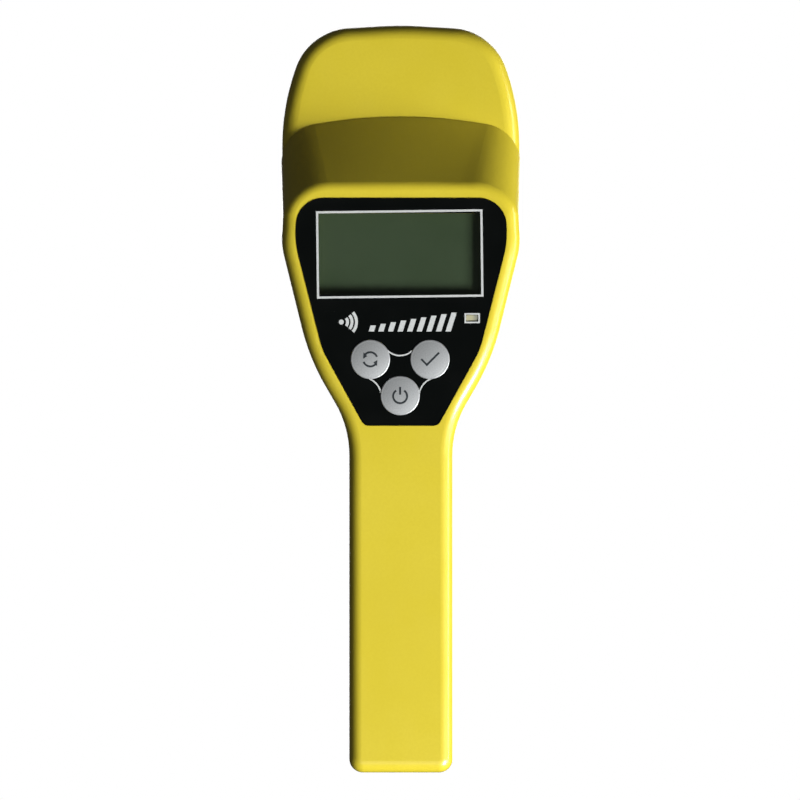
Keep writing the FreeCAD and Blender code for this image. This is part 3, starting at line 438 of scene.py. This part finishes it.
# ---- the printed panel ----
FRAME_LINE = 0.8 * MM
FRAME_SKEW = 0.012           # how far the display's line is turned, in radians
FRAME_WIDE, FRAME_HIGH = 59.8 * MM, 31.4 * MM
LAMP_WIDE, LAMP_HIGH, LAMP_LINE = 5.5 * MM, 3.6 * MM, 0.56 * MM
LINK_LINE = 0.52 * MM
LINK_TOUCH = KEY_R           # a link's outer edge would just touch a circle of this radius about each key
LINK_CLEAR = 7.16 * MM       # and the line is cut off along this one, outside the keys' holes
TOP_SAG, SIDE_SAG = 1.35 * MM, 3.9 * MM  # how far out the links' middles stay, as link_band says
MARK = (-1.4 * MM, 161.9 * MM)
WAVES_LEFT, WAVE_DOT_R, WAVE_LINE = 20.0 * MM, 0.9 * MM, 1.05 * MM
WAVE_RADII = (2.2 * MM, 3.8 * MM, 5.4 * MM)
BARS, BARS_LEFT, BARS_LOW = 9, 10.2 * MM, 3.4 * MM
BAR_PITCH, BAR_WIDE, BAR_SLANT = 3.45 * MM, 1.9 * MM, 0.32
FIRST_BAR_TALL, BAR_GROWTH = 2.2 * MM, 4.6 * MM     # the last bar is taller than the first by the growth


def display_frame():
    """The silver line printed round the display, a little out of square with the gun."""
    square = rectangle((0, 0), FRAME_WIDE - FRAME_LINE, FRAME_HIGH - FRAME_LINE)
    path = [(DISPLAY.x + x - FRAME_SKEW * z, DISPLAY.z + z + FRAME_SKEW * x) for x, z in square]
    new_piece("display_frame", *stroke(path, FRAME_LINE, PRINT_Y, closed=True), "gun_body", "key_silver",
              "silver_print")


def lamp_frame():
    """The silver line printed round the lamp's window."""
    path = rectangle((LAMP.x, LAMP.z), LAMP_WIDE - LAMP_LINE, LAMP_HIGH - LAMP_LINE)
    new_piece("lamp_frame", *stroke(path, LAMP_LINE, PRINT_Y, closed=True), "gun_body", "key_silver",
              "silver_print")


def link_band(first, second, sag):
    """The outline of a curved line that runs off one key's rim on to another's.

    Its outer edge is a hollow fillet between the two keys, touching both. Sag is how far the line's middle
    stays outside the straight line between the keys' centres.
    """
    a, b = Vector((first.x, first.z)), Vector((second.x, second.z))
    half = (b - a).length / 2
    away = Vector(((b - a).y, -(b - a).x)).normalized()
    outer = sag + LINK_LINE / 2
    radius = (half ** 2 + outer ** 2 - LINK_TOUCH ** 2) / (2 * (LINK_TOUCH - outer))
    centre = (a + b) / 2 + away * (radius + outer)
    reach = (centre - a).length
    edges = []
    for bend in (radius, radius + LINK_LINE):
        spread = math.degrees(math.acos((reach ** 2 + bend ** 2 - LINK_CLEAR ** 2) / (2 * reach * bend)))
        to_a = math.degrees(math.atan2(*(a - centre).yx))
        to_b = math.degrees(math.atan2(*(b - centre).yx))
        turn = (to_b - to_a + 180) % 360 - 180
        shorten = math.copysign(spread, turn)
        edges.append(arc(centre, bend, to_a + shorten, to_a + turn - shorten, 32))
    return edges[0] + edges[1][::-1]


def key_links():
    """The three thin curves that join the keys."""
    mode, set_, on = (KEY_PLACES[name] for name in KEY_NAMES)
    shapes = [fill(link_band(a, b, sag), PRINT_Y) for a, b, sag in (
        (set_, mode, TOP_SAG), (mode, on, SIDE_SAG), (on, set_, SIDE_SAG))]
    new_piece("key_links", *together(*shapes), "gun_body", "key_silver", "silver_print")


def panel_mark():
    """A plain mark where a name would be: radar waves, then slanted bars that grow."""
    x, z = MARK
    source = (x - WAVES_LEFT, z)
    shapes = [fill(arc(source, WAVE_DOT_R, 0, 345, 23), PRINT_Y)]
    shapes += [stroke(arc(source, radius, -40, 40), WAVE_LINE, PRINT_Y) for radius in WAVE_RADII]
    low = z - BARS_LOW
    for i in range(BARS):
        left = x - BARS_LEFT + i * BAR_PITCH
        right = left + BAR_WIDE
        tall = FIRST_BAR_TALL + BAR_GROWTH * i / (BARS - 1)
        lean = BAR_SLANT * tall
        bar = [(left, low), (right, low), (right + lean, low + tall), (left + lean, low + tall)]
        shapes.append(fill(bar, PRINT_Y))
    new_piece("panel_mark", *together(*shapes), "gun_body", "key_silver", "silver_print")


# ---- the keys ----
CROWN = 0.34 * MM            # how much lower the domed face is at its rim than in its middle
DOME_R = 6.0 * MM
RING_R = 6.3 * MM            # a flat ring lies lower, outside the dome
RING_DROP = 0.06 * MM
EDGE_R = 0.35 * MM
DOME_TOP_Y = KEY_TOP_Y + INK_TALL        # the printed sign stands out as far as the plain key did


def crown_y(radius):
    """Depth of the domed key face at that distance from its middle."""
    return DOME_TOP_Y + CROWN * (radius / DOME_R) ** 2


def key_profile():
    """A key's section from the middle of its face, over the edge and down to the back of its flange."""
    rings = 18
    profile = [(DOME_R * i / rings, crown_y(DOME_R * i / rings)) for i in range(1, rings + 1)]
    ring_y = crown_y(DOME_R) + RING_DROP
    profile += [(RING_R, ring_y)]
    profile += [(KEY_R - EDGE_R + EDGE_R * math.sin(a), ring_y + EDGE_R * (1 - math.cos(a)))
                for a in (math.radians(15 * i) for i in range(7))]
    profile += [(KEY_R, FLANGE_Y), (FLANGE_R, FLANGE_Y), (FLANGE_R, KEY_BACK_Y)]
    return profile


def on_crown(points, faces, place):
    """A flat printed shape laid on the key's crowned face."""
    laid = []
    for x, y, z in points:
        laid.append((place.x + x, y + crown_y(math.hypot(x, z)), place.z + z))
    return laid, faces


SIGN_LINE = 0.72 * MM
SIGN_STEP = 0.25 * MM


def fine_path(corners):
    """Close points along straight lines between the corners, to follow a domed face."""
    path = []
    for (x0, z0), (x1, z1) in zip(corners, corners[1:]):
        count = math.ceil(math.hypot(x1 - x0, z1 - z0) / SIGN_STEP)
        path += [(x0 + (x1 - x0) * i / count, z0 + (z1 - z0) * i / count) for i in range(count)]
    return path + [corners[-1]]


def power_sign():
    """The usual on sign: a broken ring and an upright bar."""
    ring = arc((0, -0.25 * MM), 2.5 * MM, 125, 415, 40)
    bar = fine_path([(0, 0.3 * MM), (0, 3.1 * MM)])
    return [stroke(ring, SIGN_LINE, 0), stroke(bar, SIGN_LINE, 0)]


def tick_sign():
    """A tick, for setting a value."""
    path = fine_path([(-3.1 * MM, 0.1 * MM), (-1.1 * MM, -2.0 * MM), (3.3 * MM, 2.4 * MM)])
    return [stroke(path, SIGN_LINE, 0)]


def cycle_sign():
    """Two curved arrows that chase each other, for stepping through the modes."""
    radius = 2.55 * MM
    head_inner, head_outer = 1.6 * MM, 3.5 * MM
    shaft_turn, head_back_turn, tip_turn = 118, 114, 155     # degrees on from an arrow's start
    shapes = []
    for start in (20, 200):
        shapes.append(stroke(arc((0, 0), radius, start, start + shaft_turn), SIGN_LINE, 0))
        tip = math.radians(start + tip_turn)
        back = math.radians(start + head_back_turn)
        head = [(radius * math.cos(tip), radius * math.sin(tip))]
        head += [(across * math.cos(back), across * math.sin(back)) for across in (head_inner, head_outer)]
        shapes.append(fill(head, 0))
    return shapes


KEY_SIGNS = {"mode": cycle_sign(), "set": tick_sign(), "on": power_sign()}


def keys():
    """The three key caps, each with its printed sign, in place of the plain keys."""
    for name, place in KEY_PLACES.items():
        body = name + "_button"
        cap = new_piece(name + "_cap", *lathe(key_profile(), place), body, "key_silver", "key_silver", 25)
        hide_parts(name + "_key")
        sign = on_crown(*together(*KEY_SIGNS[name]), place)
        new_piece(name + "_sign", *sign, body, "key_silver", "ink_black")


# ---- the socket in the handle's end ----
def insert_thread():
    """The screw thread inside the brass insert."""
    low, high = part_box("tripod_insert")
    bore, pitch, deep = 2.6 * MM, 0.9 * MM, 0.4 * MM
    steps = 32
    turns = (high.z - low.z) / pitch - 1
    # each corner of the thread's section: its radius, and its height as a share of the pitch
    section = ((bore, 0.05), (bore - deep, 0.42), (bore - deep, 0.58), (bore, 0.95))
    points, faces = [], []
    count = int(turns * steps)
    for i in range(count + 1):
        a = 2 * math.pi * i / steps
        z = low.z + pitch * i / steps
        for radius, lift in section:
            points.append((radius * math.cos(a), radius * math.sin(a), z + lift * pitch))
    for i in range(count):
        a, b = 4 * i, 4 * i + 4
        faces += [(a + k, a + k + 1, b + k + 1, b + k) for k in range(3)]
        faces.append((a + 3, a, b, b + 3))
    last = 4 * count
    faces += [(3, 2, 1, 0), (last, last + 1, last + 2, last + 3)]
    new_piece("insert_thread", points, faces, "gun_body", "insert_brass", "insert_brass")


# ---- finishes of the frame's own pieces ----
FINISH_OF = {
    "shell_yellow": ("front_shell", "rear_shell", "battery_door"),
    "tray_black": ("battery_tray",),
    "cell_wrap": ("aa_cells",),
    "contact_metal": ("battery_contacts", "lcd_pins"),
    "lead_red": ("battery_lead_red",),
    "lead_black": ("battery_lead_black", "radar_lead"),
    "panel_black": ("graphic_overlay",),
    "clear_plastic": ("display_window",),
    "milky_lens": ("led_window",),
    "foam": ("lcd_gasket", "radome_gasket"),
    "display_glass": ("lcd_front_glass", "lcd_rear_glass"),
    "chip_black": ("tact_switches", "board_chips", "buzzer", "mode_plunger", "set_plunger", "on_plunger"),
    "lamp_body": ("indicator_led",),
    "circuit_board": ("main_board",),
    "socket_white": ("board_connectors",),
    "screw_steel": ("board_screws", "module_screws", "horn_screws", "case_screws"),
    "module_case": ("microwave_module",),
    "cast_metal": ("antenna_horn",),
    "radome_black": ("radome",),
    "insert_brass": ("tripod_insert",),
    "key_silver": ("mode_key", "set_key", "on_key"),
}


def finish_frame():
    """Give every node of the frame its material."""
    for finish, nodes in FINISH_OF.items():
        for node in nodes:
            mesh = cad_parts[node].data
            mesh.materials.clear()
            mesh.materials.append(MATERIALS[finish])
            mesh.polygons.foreach_set("material_index", [0] * len(mesh.polygons))


# ---- stage, light and camera ----
VIEW_CENTRE = Vector((-0.34 * MM, -5 * MM, 133.9 * MM))
VIEW_DISTANCE = 4.0
VIEW_FIELD = 288 * MM        # height of what the camera sees at that distance
ROOM_LIGHT = 0.03            # brightness of the room for everything but the camera


def flat_white(name):
    """White that looks the same in any light."""
    s = Shader(name)
    glow = s.add("ShaderNodeEmission", Color=(1, 1, 1, 1), Strength=1.0)
    s.tree.links.new(glow.outputs[0], s.output.inputs[0])
    return s.material


def floor():
    """A plain white floor that only the camera sees."""
    size = 6.0
    mesh = bpy.data.meshes.new("floor")
    corners = [(-size, -size, 0), (size, -size, 0), (size, size, 0), (-size, size, 0)]
    mesh.from_pydata(corners, [], [(0, 1, 2, 3)])
    mesh.materials.append(flat_white("floor_white"))
    board = bpy.data.objects.new("floor", mesh)
    board.visible_shadow = False
    board.visible_diffuse = False
    board.visible_glossy = False
    bpy.context.scene.collection.objects.link(board)


def room():
    """White all round for the camera, dim grey for the light that falls on the object."""
    world = bpy.data.worlds.new("room")
    world.use_nodes = True
    tree = world.node_tree
    tree.nodes.clear()
    output = tree.nodes.new("ShaderNodeOutputWorld")
    path = tree.nodes.new("ShaderNodeLightPath")
    choose = tree.nodes.new("ShaderNodeMixShader")
    for socket, strength in ((1, ROOM_LIGHT), (2, 1.0)):
        shade = tree.nodes.new("ShaderNodeBackground")
        shade.inputs["Color"].default_value = (1, 1, 1, 1)
        shade.inputs["Strength"].default_value = strength
        tree.links.new(shade.outputs[0], choose.inputs[socket])
    tree.links.new(path.outputs["Is Camera Ray"], choose.inputs[0])
    tree.links.new(choose.outputs[0], output.inputs[0])
    bpy.context.scene.world = world


def soft_light(name, towards, distance, wide, high, power):
    """A soft panel light that lies that way and that far from the object, facing it."""
    lamp = bpy.data.lights.new(name, "AREA")
    lamp.shape = "RECTANGLE"
    lamp.size, lamp.size_y = wide, high
    lamp.energy = power
    holder = bpy.data.objects.new(name, lamp)
    way = Vector(towards).normalized()
    holder.location = VIEW_CENTRE + way * distance
    holder.rotation_euler = (-way).to_track_quat("-Z", "Y").to_euler()
    holder.visible_camera = False
    bpy.context.scene.collection.objects.link(holder)


def lights():
    """A key light from the lower right, and weaker ones from the right, the front and behind."""
    soft_light("key_light", (0.66, -0.56, -0.52), 2.4, 1.0, 0.95, 98)
    soft_light("side_light", (0.98, -0.18, -0.05), 1.8, 0.3, 1.6, 10)
    soft_light("front_light", (-0.1, -1.0, -0.5), 2.4, 1.2, 1.2, 3.5)
    soft_light("back_light", (0.1, 1.0, 0.25), 1.6, 1.4, 1.4, 14.0)


def camera():
    """A long lens straight in front of the display."""
    lens = bpy.data.cameras.new("camera")
    lens.lens = lens.sensor_width * VIEW_DISTANCE / VIEW_FIELD
    lens.clip_end = 20.0
    holder = bpy.data.objects.new("camera", lens)
    holder.location = VIEW_CENTRE + Vector((0, -VIEW_DISTANCE, 0))
    holder.rotation_euler = (math.pi / 2, 0, 0)
    bpy.context.scene.collection.objects.link(holder)
    bpy.context.scene.camera = holder


finish_frame()
display_frame()
lamp_frame()
key_links()
panel_mark()
keys()
insert_thread()
floor()
room()
lights()
camera()
bpy.context.scene.view_settings.view_transform = "Standard"
